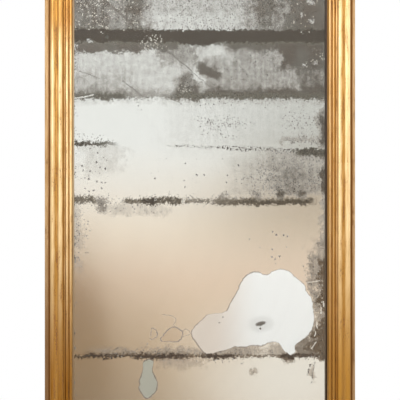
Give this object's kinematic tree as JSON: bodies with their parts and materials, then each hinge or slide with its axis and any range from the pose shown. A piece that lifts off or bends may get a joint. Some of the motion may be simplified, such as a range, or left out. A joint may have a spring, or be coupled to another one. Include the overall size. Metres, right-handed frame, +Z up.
{
  "type": "pier mirror",
  "caption": "Tall rectangular pier mirror: foxed antique plate in a reeded gilt moulding on a pegged pine frame, with a boarded back and swinging ring hangers.",
  "frame": {"origin": "middle of the bottom edge of the back plane, which lies against the wall", "axes": "+Z up the frame, +Y out of the back towards the wall, +X to the viewer's right when facing the plate"},
  "size_m": [0.9, 0.0585, 1.8],
  "materials": {
    "carcase_pine": "aged pine, front margin and edges toned ochre",
    "gilding": "worn water gilding over red bole and gesso on pine",
    "plate_glass": "old polished plate glass",
    "tin_mercury": "foxed tin and mercury silvering with dark bands at the board joints",
    "block_pine": "rough cut pine with old glue",
    "board_pine": "unfinished sawn pine, darkened with age",
    "nail_iron": "rusted wrought iron",
    "peg_oak": "riven oak",
    "hanger_brass": "dull aged brass",
    "screw_iron": "blackened iron, slotted"
  },
  "bodies": {
    "frame": {"carcase_left": "carcase_pine", "carcase_right": "carcase_pine", "carcase_top": "carcase_pine", "carcase_bottom": "carcase_pine", "gilt_moulding_left": "gilding", "gilt_moulding_right": "gilding", "gilt_moulding_top": "gilding", "gilt_moulding_bottom": "gilding", "mirror_glass": "plate_glass", "silvering": "tin_mercury", "glass_block_left_1": "block_pine", "glass_block_left_2": "block_pine", "glass_block_left_3": "block_pine", "glass_block_left_4": "block_pine", "glass_block_left_5": "block_pine", "glass_block_right_1": "block_pine", "glass_block_right_2": "block_pine", "glass_block_right_3": "block_pine", "glass_block_right_4": "block_pine", "glass_block_right_5": "block_pine", "glass_block_bottom_1": "block_pine", "glass_block_bottom_2": "block_pine", "glass_block_bottom_3": "block_pine", "glass_block_top_1": "block_pine", "glass_block_top_2": "block_pine", "glass_block_top_3": "block_pine", "backboard_01": "board_pine", "backboard_02": "board_pine", "backboard_03": "board_pine", "backboard_04": "board_pine", "backboard_05": "board_pine", "backboard_06": "board_pine", "backboard_07": "board_pine", "backboard_08": "board_pine", "backboard_09": "board_pine", "backboard_10": "board_pine", "backboard_nails": "nail_iron", "corner_pegs": "peg_oak", "hanger_strap_left": "hanger_brass", "hanger_strap_right": "hanger_brass", "hanger_screws": "screw_iron"},
    "left_ring": {"hanger_ring_left": "hanger_brass"},
    "right_ring": {"hanger_ring_right": "hanger_brass"}
  },
  "joints": [
    {"name": "left_ring_swing", "type": "hinge", "parent": "frame", "child": "left_ring", "pos_m": [-0.423, 0.0038, 1.44], "axis": [1, 0, 0], "range_deg": [0, 180]},
    {"name": "right_ring_swing", "type": "hinge", "parent": "frame", "child": "right_ring", "pos_m": [0.423, 0.0038, 1.44], "axis": [1, 0, 0], "range_deg": [0, 180]}
  ]
}
